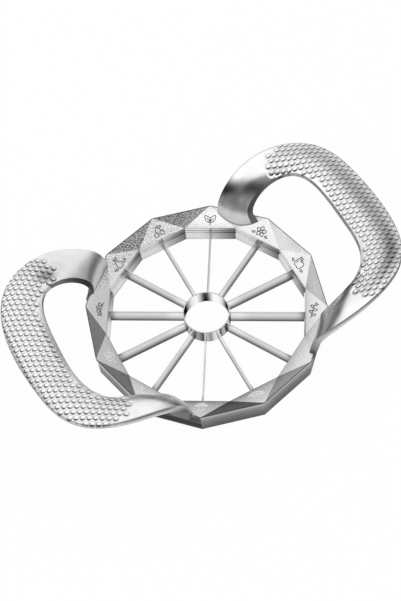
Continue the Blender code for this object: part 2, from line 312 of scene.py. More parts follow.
# Ground strip steel. UV runs along the blade and up it, in millimetres
def bladeMetal():
    metal = Surface("bladeSteel", (0.74, 0.74, 0.75), 0.24)
    place = metal.place(useUv=True)
    lines = metal.noise(metal.stretched(place, (0.12, 14, 1)), 1.0, detail=4, rough=0.65)
    clouds = metal.noise(metal.stretched(place, (0.15, 0.3, 1)), 1.0)
    ground = metal.blendColours(metal.ranged(lines, 0, 1), (0.80, 0.80, 0.81), (0.96, 0.96, 0.97))
    # Painted shade: dark at the cutting edge and bright above, with a painted dark line and a painted
    # highlight along the top
    tone = metal.ramp(metal.along(place, (0, 1, 0)), 10, (
        (0, 0.04), (1.1, 0.10), (2.3, 0.34), (4.0, 0.66), (6.3, 0.92), (8.3, 1.0), (9.0, 0.85), (9.5, 0.5),
        (9.8, 1.0),
    ))
    # Painted shade again beside the ring's wall
    wallShade = metal.ramp(metal.farFromAxis(metal.place()), 0.1, (
        (0.047, 1.0), (0.0485, 0.9), (0.0495, 0.75), (0.0505, 0.5), (0.0515, 0.4),
    ))
    colour = metal.times(metal.times(ground, tone), wallShade)
    roughness = metal.maths("ADD", metal.ranged(lines, 0.18, 0.30), metal.ranged(clouds, 0.0, 0.08))
    return metal.finish(colour, roughness, metal.relief(lines, 0.000012, 0.8))


# Painted reflections on the tube, light and dark by direction in degrees, outside and inside, and where each
# of them ends
tubePaintedReflections = {
    "outside": (
        (-180, 0.1), (-165, 0.12), (-155, 0.45), (-132, 0.6), (-124, 0.1), (-117, 0.35), (-110, 0.42),
        (-100, 0.2), (-95, 0.1), (-90, 0.55), (-84, 0.5), (-78, 0.3), (-68, 0.8), (-57, 0.85), (-53, 0.08),
        (-46, 0.5), (-38, 0.55), (-32, 0.1), (-26, 0.8), (-16, 0.5), (-8, 0.08), (8, 0.1), (20, 0.8),
        (180, 0.8),
    ),
    "inside": (
        (-180, 0.03), (-90, 0.4), (0, 0.03), (20, 0.04), (30, 0.12), (40, 0.45), (52, 0.88), (64, 1.0),
        (76, 1.0), (84, 0.5), (90, 0.14), (96, 0.06), (102, 0.14), (110, 0.6), (120, 1.0), (136, 0.85),
        (148, 0.5), (158, 0.2), (168, 0.06), (180, 0.03),
    ),
    "middleRadius": 0.01215,  # of the wall
    "rimHeight": 0.00935,
}


# Mirror-drawn tube with painted reflections by direction. UV runs round the tube and up it, in millimetres
def tubeMetal():
    metal = Surface("tubeMirror", (0.86, 0.86, 0.87), 0.05)
    place, solid = metal.place(useUv=True), metal.place()
    draws = metal.noise(metal.stretched(place, (7, 0.1, 1)), 1.0, detail=3, rough=0.6)
    smears = metal.noise(metal.stretched(place, (0.2, 0.25, 1)), 1.0, detail=3)
    colour = metal.blendColours(metal.ranged(draws, 0, 1), (0.92, 0.92, 0.93), (0.98, 0.98, 0.985))
    inner, outer = (metal.roundTone(solid, tubePaintedReflections[side]) for side in ("inside", "outside"))
    outside = metal.maths("GREATER_THAN", metal.farFromAxis(solid), tubePaintedReflections["middleRadius"])
    tone = metal.blendColours(outside, inner, outer)
    # The rim takes one even grey in place of the painted reflections
    rim = metal.maths("GREATER_THAN", metal.along(solid, (0, 0, 1)), tubePaintedReflections["rimHeight"])
    tone = metal.times(metal.lightened(tone, rim), metal.blendColours(rim, (1, 1, 1), (0.66, 0.66, 0.67)))
    # The painted dark reflections stay dark where they are seen flat
    metal.join(tone, metal.shader.inputs["Specular Tint"])
    normal = metal.relief(draws, 0.000004, 0.5)
    return metal.finish(metal.times(colour, tone), metal.ranged(smears, 0.03, 0.10), normal)


# Turned lower ring: faint machining lines round the axis over a cast grain, with painted shade like the ring
# above it
def clampMetal():
    metal = Surface("clampSatin", (0.70, 0.70, 0.71), 0.3)
    place = metal.place()
    grain = metal.noise(place, 1500)
    lines = metal.noise(metal.stretched(place, (40, 40, 3200)), 1.0, rough=0.6)
    colour = metal.blendColours(metal.ranged(lines, 0, 1), (0.78, 0.78, 0.79), (0.94, 0.94, 0.95))
    panels = metal.panelTone(place, finishesAndShade["ringBore"]["panelTones"], clampShade["panelReach"])
    colour = metal.times(colour, panels)
    wall = metal.heightTone(place, 7, clampShade["tones"])
    wall = metal.times(metal.sideTone(place, finishesAndShade["ringWall"]["sideTones"]), wall)
    inner = metal.maths("LESS_THAN", metal.farFromAxis(place), clampShade["wallFrom"])
    colour = metal.times(colour, metal.lightened(wall, inner))
    return metal.finish(colour, metal.ranged(grain, 0.24, 0.38), metal.relief(grain, 0.00002, 0.8))


# Metal with a grain alone, which goes from one colour to another
def plainMetal(name, base, low, high, scale, roughness, depth, strength):
    metal = Surface(name, *base)
    grain = metal.noise(metal.place(), scale)
    colour = metal.blendColours(metal.ranged(grain, 0, 1), low, high)
    return metal.finish(colour, metal.ranged(grain, *roughness), metal.relief(grain, depth, strength))


# The raised lines of the ornaments
def lineMetal(name, dark, light):
    low, high = (dark, dark, dark * 1.02), (light, light, light * 1.01)
    return plainMetal(name, ((light, light, light), 0.3), low, high, 2600, (0.22, 0.34), 0.00002, 0.7)


litFacetMetal, shadedFacetMetal, wallMetal, boreMetal = (castMetal(*entry) for entry in finishesAndShade.items())
handleMetal = satinHandleMetal()
bladeSteel = bladeMetal()
tubeSteel = tubeMetal()
clampSteel = clampMetal()
screwSteel = plainMetal(
    "screwSteel", ((0.58, 0.58, 0.60), 0.26), (0.48, 0.48, 0.50), (0.66, 0.66, 0.68), 3000, (0.2, 0.34),
    0.00001, 0.8,
)
# One line metal in two tones: painted shade for the ornaments on the far side of the ring, painted light for
# those on the near side
tonedLine = lineMetal("tonedLine", 0.06, 0.26)  # on the far side of the ring
brightLine = lineMetal("brightLine", 0.80, 0.98)
print("materials ready")


# Ring

ringSize = {
    "boreFlat": 0.052,  # axis to the middle of a side of the bore
    "corner": 0.0636 * 0.9999,  # axis to an outer corner
    "underside": 0.0008,
    "seam": 0.0066,
    "seamGap": 0.00012,
    "innerEdge": 0.0108,
    "outerEdge": 0.016,
    "lipHeight": 0.0007,
    "lipOverhang": 0.0004,
    "grooveHeight": 0.0011,
    "grooveDepth": 0.0005,
    "boreLine": 0.0087,  # a thin groove round the bore, over the seam
    "boreLineHeight": 0.0003,
    "boreLineDepth": 0.0004,
    "clampStep": 0.0006,
    "edgeRound": 0.00018,
    "clampRound": 0.00014,
    "sharpAbove": 28,
    "facetUp": 0.5,  # a facet's normal points up by more than this, a lit one's by more than the next
    "litFacetUp": 0.87,
}
# Painted shade of each facet by its direction in degrees: the lit ones, then the shaded ones
facetShadeTones = {
    0: 0.96, 30: 0.92, 60: 1, 90: 1, 120: 1, 150: 1, 180: 0.76, 210: 0.63, 240: 0.80, 270: 0.78, 300: 0.88,
    330: 0.95,
    15: 0.72, 45: 0.95, 75: 1, 105: 0.6, 135: 0.68, 165: 1, 195: 0.28, 225: 0.25, 255: 0.6, 285: 0.18,
    315: 0.49, 345: 1,
}
ringSize["boreCorner"] = ringSize["boreFlat"] / math.cos(sideAngle / 2)


def addLoop(work, radius, height, turned=False, segments=12):
    place = lift(height) @ turnZ(sideAngle / 2 if turned else 0)
    before = set(work.edges)
    bmesh.ops.create_circle(work, cap_ends=False, segments=segments, radius=radius, matrix=place)
    return [edge for edge in work.edges if edge not in before]


# Joins two loops that stand half a side apart, as triangles along their short diagonals
def facetBridge(work, first, second):
    faces = bmesh.ops.bridge_loops(work, edges=first + second)["faces"]
    bmesh.ops.triangulate(work, faces=faces, quad_method="SHORT_EDGE")


# Extrudes a loop of edges where it stands. Gives the new loop and its corners
def extruded(work, loop):
    grown = bmesh.ops.extrude_edge_only(work, edges=loop)["geom"]
    corners = [part for part in grown if isinstance(part, bmesh.types.BMVert)]
    ends = set(corners)
    edges = [part for part in grown if isinstance(part, bmesh.types.BMEdge) and set(part.verts) <= ends]
    return edges, corners


# Extrudes a loop of this radius by steps of (drop, next radius)
def pulled(work, loop, radius, *steps):
    for drop, reach in steps:
        loop, corners = extruded(work, loop)
        bmesh.ops.translate(work, verts=corners, vec=(0, 0, -drop))
        bmesh.ops.scale(work, verts=corners, vec=(reach / radius, reach / radius, 1))
        radius = reach
    return loop


def roundEdges(work, width, sharperThan=12, segments=2, edges=None):
    chosen = [
        edge
        for edge in (work.edges if edges is None else edges)
        if len(edge.link_faces) == 2 and edge.calc_face_angle(0) > math.radians(sharperThan)
    ]
    bmesh.ops.bevel(
        work, geom=chosen, offset=width, offset_type="OFFSET", segments=segments, profile=0.5,
        affect="EDGES", clamp_overlap=True, material=-1,
    )


def makeUpperFrame():
    size = ringSize
    work = bmesh.new()
    outer = addLoop(work, size["corner"], size["outerEdge"])
    inner = addLoop(work, size["boreCorner"], size["innerEdge"], turned=True)
    facetBridge(work, outer, inner)
    bottom = size["seam"] + size["seamGap"]
    lip, groove, line = size["lipHeight"], size["grooveHeight"], size["boreLineHeight"]
    wall, grooveRadius = size["corner"] - size["lipOverhang"], size["corner"] - size["grooveDepth"]
    wallEnd = pulled(
        work, outer, size["corner"], (lip, size["corner"]), (0, grooveRadius), (groove, grooveRadius),
        (0, wall), (size["outerEdge"] - lip - groove - bottom, wall),
    )
    bore = size["boreCorner"]
    lineRadius = bore + size["boreLineDepth"]
    boreEnd = pulled(
        work, inner, bore, (size["innerEdge"] - size["boreLine"], bore), (0, lineRadius), (line, lineRadius),
        (0, bore), (size["boreLine"] - line - bottom, bore),
    )
    facetBridge(work, wallEnd, boreEnd)
    bmesh.ops.recalc_face_normals(work, faces=work.faces[:])
    work.normal_update()
    facetShade = work.faces.layers.float.new("facetShade")
    for face in work.faces:
        middle = face.calc_center_median()
        turn = round(math.degrees(math.atan2(middle.y, middle.x)) / 15) * 15 % 360
        face[facetShade] = facetShadeTones[turn]
        outwards = face.normal.dot(Vector((middle.x, middle.y, 0)).normalized())
        # Facets facing up most take the lit metal, the steeper ones the metal with painted shade
        if face.normal.z > size["facetUp"]:
            face.material_index = 0 if face.normal.z > size["litFacetUp"] else 1
        else:
            face.material_index = 2 if outwards > 0.3 else 3
    roundEdges(work, size["edgeRound"])
    metals = litFacetMetal, shadedFacetMetal, wallMetal, boreMetal
    piece = newPiece("facetFrame", work, *metals, sharpAbove=size["sharpAbove"])
    standFor(piece, "cast_metal", "upper_frame")


screwSize = {
    "count": 6,
    "circle": 0.0573,
    "head": 0.0022,
    "headHeight": 0.0014,
    "recess": 0.0003,
    "shank": 0.00125,
    "shankLength": 0.0073,
    "socket": 0.00105,
    "socketDepth": 0.0008,
    "chamfer": 0.0003,
    "boreRoom": 0.0003,  # round a head in its counterbore
    "boreDepth": 0.002,
}


def makeClampRing():
    size = ringSize
    wall = size["corner"] - size["lipOverhang"]
    bore = (size["boreFlat"] - size["clampStep"]) / math.cos(sideAngle / 2)
    work = bmesh.new()
    outer = addLoop(work, wall, size["seam"])
    inner = addLoop(work, bore, size["seam"], turned=True)
    facetBridge(work, outer, inner)
    height = size["seam"] - size["underside"]
    facetBridge(work, pulled(work, outer, wall, (height, wall)), pulled(work, inner, bore, (height, bore)))
    bmesh.ops.dissolve_limit(work, angle_limit=0.01, verts=work.verts[:], edges=work.edges[:])
    roundEdges(work, size["clampRound"])
    piece = newPiece("clampRing", work, clampSteel)

    cutters = bmesh.new()
    radius = screwSize["head"] + screwSize["boreRoom"]
    for number in range(screwSize["count"]):
        place = screwPlace(number) @ lift(size["underside"])
        bmesh.ops.create_cone(
            cutters, cap_ends=True, segments=48, radius1=radius, radius2=radius,
            depth=screwSize["boreDepth"] * 2, matrix=place,
        )
    cutter = linkMesh("bores", meshOf("bores", cutters))
    step = piece.modifiers.new("bores", "BOOLEAN")
    step.operation = "DIFFERENCE"
    step.solver = "EXACT"
    step.object = cutter
    graph = bpy.context.evaluated_depsgraph_get()
    made = bpy.data.meshes.new_from_object(
        piece.evaluated_get(graph), preserve_all_data_layers=True, depsgraph=graph
    )
    piece.modifiers.clear()
    piece.data = made
    bpy.data.objects.remove(cutter)
    made.set_sharp_from_angle(angle=math.radians(size["sharpAbove"]))
    standFor(piece, "clamp_metal", "clamp_ring")


def screwPlace(number):
    turn = turnZ(sideAngle / 2 + number * fullTurn / screwSize["count"])
    return turn @ Matrix.Translation((screwSize["circle"], 0, 0))


def makeScrews():
    size = screwSize
    low = ringSize["underside"] + size["recess"]
    head, shank, socket, chamfer = size["head"], size["shank"], size["socket"], size["chamfer"]
    for number in range(size["count"]):
        work = bmesh.new()
        place = lift(low + size["socketDepth"])
        bmesh.ops.create_circle(work, cap_ends=True, segments=6, radius=socket, matrix=place)
        rim = pulled(work, work.edges[:], socket, (size["socketDepth"], socket))
        face = addLoop(work, head - chamfer, low, segments=36)
        bmesh.ops.bridge_loops(work, edges=rim + face)
        end = pulled(
            work, face, head - chamfer, (-chamfer, head), (chamfer - size["headHeight"], head), (0, shank),
            (-size["shankLength"], shank),
        )
        bmesh.ops.edgeloop_fill(work, edges=end)
        place = screwPlace(number) @ turnZ(0.4 + number * 1.1)  # no two sockets stand alike
        bmesh.ops.transform(work, matrix=place, verts=work.verts[:])
        piece = newPiece(f"socketScrew_{number + 1:02d}", work, screwSteel)
        standFor(piece, "screw_steel", f"screw_{number + 1:02d}")


makeUpperFrame()
makeClampRing()
makeScrews()
print("ring, clamp ring and screws ready")


# Ornaments: one small line drawing of fruit, leaf or blossom on each light facet, raised like a cast bead

ornamentSize = {
    "overBase": 0.0046,  # middle of a drawing over the facet's inner edge
    "lineRadius": 0.00025,
    "lineRise": 0.7,  # the bead's height as a share of its width
    "scale": 0.92 * 0.001,  # from the drawings' millimetres
}


# Drawings are in millimetres, x along the ring and y outwards. A line is (closed, points)
def openLine(*points):
    return False, points


# A closed line from its right half, which starts and ends on the middle
def evenLine(*half):
    return True, [*half, *((-x, y) for x, y in half[-2:0:-1])]


def ovalLine(x, y, across):
    turns = [fullTurn * step / 8 for step in range(8)]
    return True, [(x + across * math.cos(turn), y + across * math.sin(turn)) for turn in turns]


def leafLine(x, y, turn, length, width):
    turn = math.radians(turn)
    ahead, over = Vector((math.cos(turn), math.sin(turn))), Vector((-math.sin(turn), math.cos(turn)))
    shape = ((0, 0), (0.35, 0.5), (0.75, 0.34), (1, 0), (0.75, -0.34), (0.35, -0.5))
    return True, [Vector((x, y)) + ahead * a * length + over * b * width for a, b in shape]


def leafPair(x, y, turn, length, width):
    return leafLine(x, y, turn, length, width), leafLine(-x, y, 180 - turn, length, width)


def linePair(*points):
    return openLine(*points), openLine(*((-x, y) for x, y in points))


drawings = {
    "sprig": [
        openLine((-5, -1.8), (-2, -0.9), (1.5, 0.2), (4.6, 2)), leafLine(-3, -1.2, 105, 2.5, 1.3),
        leafLine(-1.6, -0.7, -50, 2.3, 1.2), leafLine(0, -0.2, 105, 2.7, 1.4),
        leafLine(1.6, 0.3, -48, 2.4, 1.2), leafLine(3, 1, 100, 2, 1.1),
    ],
    "apple": [
        evenLine((0, 1.7), (1.4, 2.3), (2.7, 1.4), (2.6, -0.6), (1.3, -2.5), (0, -2.1)),
        openLine((0, 1.7), (0.2, 2.8), (0.8, 3.5)), leafLine(0.3, 2.7, 10, 2.4, 1.2),
        openLine((1.7, 1.1), (1.8, 0.1), (1.3, -0.9)), *leafPair(3.4, -1.6, 10, 2.2, 1.1),
    ],
    "blossom": [
        ovalLine(0, 0, 0.75), *leafPair(3.2, -1.6, -20, 2, 1),
        *(
            leafLine(0.8 * math.cos(math.radians(turn)), 0.8 * math.sin(math.radians(turn)), turn, 2.4, 1.9)
            for turn in range(18, 378, 72)
        ),
    ],
    "seedling": [
        openLine((0.3, -3.4), (0, -2.2), (0, -1.2)), *leafPair(0.1, -1.2, 52, 4.9, 2.7),
        *linePair((0.5, -0.6), (2, 1.2)),
    ],
    "cherries": [
        ovalLine(-1.9, -1.3, 1.4), ovalLine(1.8, -1.5, 1.4), openLine((-1.7, 0.1), (-0.9, 1.8), (0.3, 3)),
        openLine((1.7, -0.1), (1.3, 1.6), (0.3, 3)), leafLine(0.3, 2.9, 190, 3, 1.3),
        openLine((-2.6, -1), (-2.2, -0.6)), openLine((1.1, -1.2), (1.5, -0.8)),
    ],
    "pear": [
        evenLine((0, 2.2), (0.9, 1.6), (1.2, 0.3), (2.1, -1), (1.5, -2.5), (0, -2.8)),
        openLine((0, 2.2), (0.2, 3), (0.9, 3.6)), leafLine(0.2, 2.9, 175, 2.3, 1.1),
        *leafPair(2.9, -2.2, 25, 2.4, 1.1),
    ],
    "berries": [
        openLine((-4.6, -2), (-1.6, -1), (1.4, -0.6), (4.4, -1.4)), ovalLine(-2.8, 0.3, 0.9),
        ovalLine(-0.6, 1.2, 0.9), ovalLine(1.7, 0.9, 0.9), openLine((-2.8, -0.6), (-2.6, -1.3)),
        openLine((-0.6, 0.3), (-0.5, -0.8)), openLine((1.7, 0), (1.4, -0.6)),
        leafLine(3.2, -0.9, 55, 2.2, 1.1),
    ],
    "halfApple": [
        evenLine((0, 1.5), (1.5, 2.2), (2.8, 1), (2.2, -1.3), (0, -2.6)), openLine((0, 1.5), (0, 2.8)),
        *leafPair(0.25, -0.9, 75, 1.7, 0.9), *linePair((4.8, -2), (3.9, -1.2), (4.1, -0.2)),
    ],
    "scroll": [
        openLine((0, -2.4), (0, -0.6), (1.2, 0.9), (2.9, 0.7), (3.1, -0.7), (2.1, -1)),
        openLine((0, -0.6), (-1.2, 0.9), (-2.9, 0.7), (-3.1, -0.7), (-2.1, -1)),
        leafLine(0, 0.4, 90, 2.9, 1.4), *leafPair(3.4, -1.6, -15, 1.9, 0.9),
    ],
    "tulip": [
        evenLine((0, -0.9), (1.5, -0.4), (1.9, 1.2), (1.5, 2.7), (0.7, 1.6), (0, 2.9)),
        openLine((0, -0.9), (0, -2.9)), *leafPair(0.2, -2.6, 28, 3.6, 1.1),
    ],
    "broadLeaf": [
        leafLine(-3.8, -1.5, 18, 8, 3.6), openLine((-5, -1.9), (-1, -0.6), (3.2, 0.8)),
        openLine((-1.6, -0.8), (-1, 0.5)), openLine((-0.8, -0.5), (0.3, -1.2)),
        openLine((0.3, -0.2), (1, 1)), openLine((1.2, 0.1), (2.2, -0.5)),
    ],
    "buds": [
        openLine((-4.8, -0.6), (-2.4, -1.8), (0, -0.6), (2.4, 0.6), (4.6, -0.4)),
        leafLine(-2.4, -1.7, 95, 2.6, 1.5), leafLine(2.4, 0.6, -90, 2.5, 1.4),
        leafLine(0, -0.6, 70, 2.6, 1.2), ovalLine(-4.3, 0.6, 0.55), ovalLine(4.3, 1, 0.55),
    ],
}


def makeOrnaments():
    size = ornamentSize
    ring = ringSize
    run, rise = ring["corner"] - ring["boreFlat"], ring["outerEdge"] - ring["innerEdge"]
    lean = math.atan2(rise, run)
    for number, (label, lines) in enumerate(drawings.items()):
        curve = bpy.data.curves.new(label, "CURVE")
        curve.dimensions = "3D"
        curve.bevel_depth = size["lineRadius"]
        curve.bevel_resolution = 1
        curve.resolution_u = 5
        curve.use_fill_caps = True
        for closed, points in lines:
            spline = curve.splines.new("BEZIER")
            spline.bezier_points.add(len(points) - 1)
            spline.use_cyclic_u = closed
            for knot, (x, y) in zip(spline.bezier_points, points):
                knot.co = (x * size["scale"], y * size["scale"], 0)
                knot.handle_left_type = knot.handle_right_type = "AUTO"
        drawn = bpy.data.objects.new(label, curve)
        scene.collection.objects.link(drawn)
        graph = bpy.context.evaluated_depsgraph_get()
        mesh = bpy.data.meshes.new_from_object(drawn.evaluated_get(graph))
        bpy.data.objects.remove(drawn)
        # x runs along the ring and y up the facet
        flat = Matrix.Diagonal((-1, 1, size["lineRise"], 1))
        onFacet = Matrix.Rotation(lean, 4, "X") @ Matrix.Translation((0, size["overBase"], 0))
        atRim = Matrix.Translation((0, ring["boreFlat"], ring["innerEdge"]))
        atRim = turnZ(number * sideAngle - math.pi / 2) @ atRim
        work = bmesh.new()
        work.from_mesh(mesh)
        bmesh.ops.transform(work, matrix=atRim @ onFacet @ flat, verts=work.verts[:])
        # The near ornaments take the painted light, the far ones the painted shade
        metal = brightLine if number > len(drawings) / 2 else tonedLine
        piece = newPiece(f"ornament_{label}", work, metal, sharpAbove=60)
        standFor(piece, "cast_metal")


makeOrnaments()
print("ornaments ready")


# Blades and corer tube

bladeSize = {
    "count": 12,
    "height": 0.010,
    "thickness": 0.0005,
    "edge": 0.00012,
    "grind": 0.0025,
    "innerEnd": 0.0122,  # inside the tube's wall
    "outerEnd": 0.0535,  # inside the ring's wall
    "topRound": 0.00012,
    "darkReach": 1.6,  # how much farther up the dark part reaches on a blade turned from the light
    "darkTop": 0.5,  # and how much of its bright top it loses
}


def makeBlades():
    size = bladeSize
    height, thickness = size["height"], size["thickness"]
    length = size["outerEnd"] - size["innerEnd"]
    for number in range(size["count"]):
        work = bmesh.new()
        place = Matrix.Translation((size["innerEnd"] + length / 2, 0, height / 2))
        place = place @ Matrix.Diagonal((length, thickness, height, 1))
        bmesh.ops.create_cube(work, size=1, matrix=place)
        everything = work.verts[:] + work.edges[:] + work.faces[:]
        bmesh.ops.bisect_plane(work, geom=everything, plane_co=(0, 0, size["grind"]), plane_no=(0, 0, 1))
        sole = [corner for corner in work.verts if corner.co.z < size["grind"] / 2]
        bmesh.ops.scale(work, verts=sole, vec=(1, size["edge"] / thickness, 1))
        tops = [edge for edge in work.edges if min(corner.co.z for corner in edge.verts) > height * 0.9]
        roundEdges(work, size["topRound"], edges=tops)
        turn = number * fullTurn / size["count"]
        # The painted shade reaches higher on the blades turned from the light, whose top also loses some of
        # its painted highlight
        away = math.sin(turn)
        bend = 1 + size["darkReach"] * away**2
        full = height * 1000 - size["darkTop"] * max(0, away) ** 4
        layer = work.loops.layers.uv.verify()
        for face in work.faces:
            for loop in face.loops:
                x, _, z = loop.vert.co
                loop[layer].uv = (x * 1000 + number * 17, full * max(0, z / height) ** bend)
        bmesh.ops.transform(work, verts=work.verts[:], matrix=turnZ(turn))
        piece = newPiece(f"wedgeBlade_{number + 1:02d}", work, bladeSteel, sharpAbove=20)
        standFor(piece, "blade_steel", f"blade_{number + 1:02d}")


tubeSize = {
    "radius": 0.0125,
    "wall": 0.0006,
    "edgeWall": 0.0003,
    "edgeHeight": 0.0012,
    "height": 0.0095,
    "steps": 144,
    "rimRound": 0.00018,
}


def makeTube():
    size = tubeSize
    work = bmesh.new()
    outer, inner = size["radius"], size["radius"] - size["wall"]
    profile = (
        (outer, size["height"]), (outer, 0), (outer - size["edgeWall"], 0),
        (inner, size["edgeHeight"]), (inner, size["height"]),
    )
    corners = [work.verts.new((x, 0, z)) for x, z in profile]
    for here, corner in enumerate(corners):
        work.edges.new((corner, corners[(here + 1) % len(corners)]))
    bmesh.ops.bevel(
        work, geom=[corners[0], corners[4]], offset=size["rimRound"], segments=4, profile=0.5,
        affect="VERTICES", material=-1,
    )
    bmesh.ops.spin(
        work, geom=work.verts[:] + work.edges[:], cent=(0, 0, 0), axis=(0, 0, 1), angle=fullTurn,
        steps=size["steps"], use_merge=True,
    )
    layer = work.loops.layers.uv.verify()
    for face in work.faces:
        middle = face.calc_center_median()
        here = math.atan2(middle.y, middle.x)
        for loop in face.loops:
            angle = math.atan2(loop.vert.co.y, loop.vert.co.x)
            angle += fullTurn * round((here - angle) / fullTurn)
            loop[layer].uv = (angle * size["radius"] * 1000, loop.vert.co.z * 1000)
    piece = newPiece("mirrorTube", work, tubeSteel, sharpAbove=40)
    standFor(piece, "tube_steel", "corer_tube")


makeBlades()
makeTube()
print("blades and tube ready")


# Handles: a ribbon drawn along two edges, with rows of small domes over the grip

handleSize = {
    "reach": 0.09995,
    "side": 0.08393,
    "rise": 0.0474,
    "edgeThickness": 0.0034,
    "crown": 0.0024,
    "footCrown": 0.0003,  # the ribbon's far end is nearly flat across
    "flare": 0.0035,  # how far the inner side wall spreads at its bottom
    "edgeRound": 0.0009,
    "sharpAbove": 50,
    "underInset": 0.05,
    "underRound": 0.001,
    # Painted shade on the sides: their tones by place
    "innerTones": (
        0.5, 0.75, 0.85, 0.88, 0.8, 0.7, 0.5, 0.4, 0.35, 0.3, 0.3, 0.4, 0.4, 0.9, 1.0, 0.95, 0.8, 0.4, 0.3,
    ),
    "outerTones": (
        0.3, 0.2, 0.1, 0.1, 0.2, 0.3, 0.3, 0.35, 0.4, 0.5, 0.7, 0.9, 0.25, 0.1, 0.1, 0.1, 0.9, 1.0, 1.0,
    ),
    "lowTone": 0.85,  # painted shade on the lower half of the outer side, where it runs into the ring's wall
    "lowEnds": (0.24, 0.18),  # places where that tone ends and where it is full
    "rimTone": 0.6,  # a dark line along the outer edge
    "rimShare": 0.48,
    "rimEnd": 0.62,
    "contactShadowReach": 0.0015,  # the painted contact shadow where a handle meets the ring
    "contactShadowTone": 0.95,
    "topPoints": 121,
    "gripStep": 0.00025,  # spacing of sections under the domes
    "plainStep": 0.0012,
    "gripMargin": 0.01,
    "wayReach": 0.007,  # the ribbon's direction is taken over this much of it, to both sides
    "footFrom": 0.83,  # the crown sinks from here on, over this much of the ribbon
    "footFade": 0.13,
    "gripFrom": 0.291,
    "gripTo": 0.689,
    "gripSkew": 0.025,  # the grip's end leans towards the outer edge
    "flareShares": (
        1.0, 1.0, 1.0, 1.0, 0.8, 0.3, 0.2, 0.1, 0.2, 0.3, 0.15, 0.1, 0.4, 0.75, 1.0, 1.0, 1.0, 1.0, 1.0,
    ),
    # Points of the outer and the inner top edge, as shares of reach, side and rise, foot to foot
    "edges": (
        ((0.05, 0.70, 0.19), (0.24, 0.63, 0.19)),
        ((0.04, 0.71, 0.28), (0.23, 0.63, 0.27)),
        ((0.04, 0.72, 0.455), (0.22, 0.63, 0.36)),
        ((0.08, 0.765, 0.70), (0.20, 0.65, 0.50)),
        ((0.19, 0.87, 0.92), (0.235, 0.685, 0.67)),
        ((0.34, 0.965, 0.99), (0.315, 0.745, 0.82)),
        ((0.51, 0.995, 1.00), (0.43, 0.795, 0.925)),
        ((0.665, 0.92, 1.00), (0.54, 0.73, 0.97)),
        ((0.795, 0.73, 0.99), (0.635, 0.585, 0.94)),
        ((0.91, 0.54, 0.96), (0.715, 0.43, 0.93)),
        ((0.99, 0.34, 0.95), (0.785, 0.27, 0.95)),
        ((1.01, 0.15, 0.99), (0.805, 0.13, 0.955)),
        ((0.95, -0.02, 1.02), (0.77, 0.02, 0.895)),
        ((0.83, -0.17, 0.97), (0.675, -0.075, 0.755)),
        ((0.69, -0.26, 0.81), (0.595, -0.11, 0.54)),
        ((0.57, -0.305, 0.625), (0.59, -0.10, 0.38)),
        ((0.54, -0.31, 0.38), (0.605, -0.09, 0.28)),
        ((0.54, -0.31, 0.27), (0.605, -0.09, 0.22)),
        ((0.53, -0.31, 0.18), (0.595, -0.09, 0.17)),
    ),
}

# Painted shade and painted reflections on the handles' tops: (place, its slant with the share across, share
# across, reach of both, tone).
# The two handles are one mesh, so each needs its own tones
handleShade = {
    "recess": (
        (0.234, -0.085, 0, 0.030, 2, 0.72), (0.195, 0, 0, 0.035, 2, 0.32), (0.50, 0, 0.17, 0.26, 0.40, 0.52),
        (0.60, 0, 0.25, 0.08, 0.28, 0.35), (0.62, 0, -0.50, 0.12, 0.18, 0.40),
        (0.722, 0.11, 0, 0.020, 2, 0.62), (0.78, 0.05, 0, 0.022, 2, 0.85), (0.85, 0, 0.45, 0.04, 0.5, 0.9),
        (0.848, 0, 0, 0.016, 2, 0.80),
    ),
    "recessTurned": (
        (0.245, -0.09, 0, 0.018, 2, 0.50), (0.46, 0, -0.52, 0.22, 0.20, 0.62),
        (0.48, 0, 0.50, 0.16, 0.14, 0.50), (0.66, 0, -0.20, 0.03, 0.32, 0.50),
        (0.785, 0.06, 0, 0.026, 2, 0.62), (0.88, 0, 0.15, 0.05, 0.6, 0.62),
        (0.20, 0, 0.45, 0.06, 0.2, 0.3), (0.185, 0, -0.2, 0.07, 0.7, 0.5), (0.70, 0, 0, 0.09, 2, 0.12),
    ),
}

domeSize = {
    "pitch": 0.0031,
    "rows": 0.00285,
    "turn": math.radians(1.5),
    "radius": 0.00112,
    "stretch": 1.3,  # along the oval's long axis
    "lean": math.radians(30),  # from the rows to the long axis
    "steep": 0.00042,  # width of a dome's steep side
    "height": 0.00034,
    "sink": 0.00045,  # the ground between the domes, below the plain surface
    "sinkFade": 0.0016,
    "farthest": 0.006,  # a dome changes nothing beyond this
    "fall": 0.2,  # how much lower a dome is at its edge
    "ahead": (0.35, 1.7),  # how much wider an outline is on its dark side, and there in a dark spot
    "endRound": 0.028,  # how far the rounding of the zone's ends goes
    "outline": 0.00036,
    "dropWays": ((0.4, -0.9), (0.35, 0.94)),  # the side where an outline is darkest
    "shadeBehind": 0.35,  # how much of the outline's tone is left at the back of a dome
    # Where the painted shade outlines widen into dark spots on their dark side, as in handleShade
    "spots": (
        ((0.61, 0, 0.26, 0.10, 0.16, 1),),
        ((0.67, 0, -0.05, 0.03, 0.5, 0.9), (0.50, 0, -0.48, 0.20, 0.22, 0.9)),
    ),
    "sunkGroundShade": 0.02,
    "innerMargin": 0.0004,
    "outerMargin": -0.0012,  # the outermost domes run into the rounded edge
}


# A point of the uniform cubic spline that starts and ends on the cage's own ends
def splinePoint(cage, place):
    points = [cage[0], cage[0], *cage, cage[-1], cage[-1]]
    spans = len(points) - 3
    span = min(int(place * spans), spans - 1)
    t = place * spans - span
    a, b, c, d = points[span : span + 4]
    return (
        a * (1 - t) ** 3 + b * (3 * t**3 - 6 * t**2 + 4) + c * (-3 * t**3 + 3 * t**2 + 3 * t + 1) + d * t**3
    ) / 6


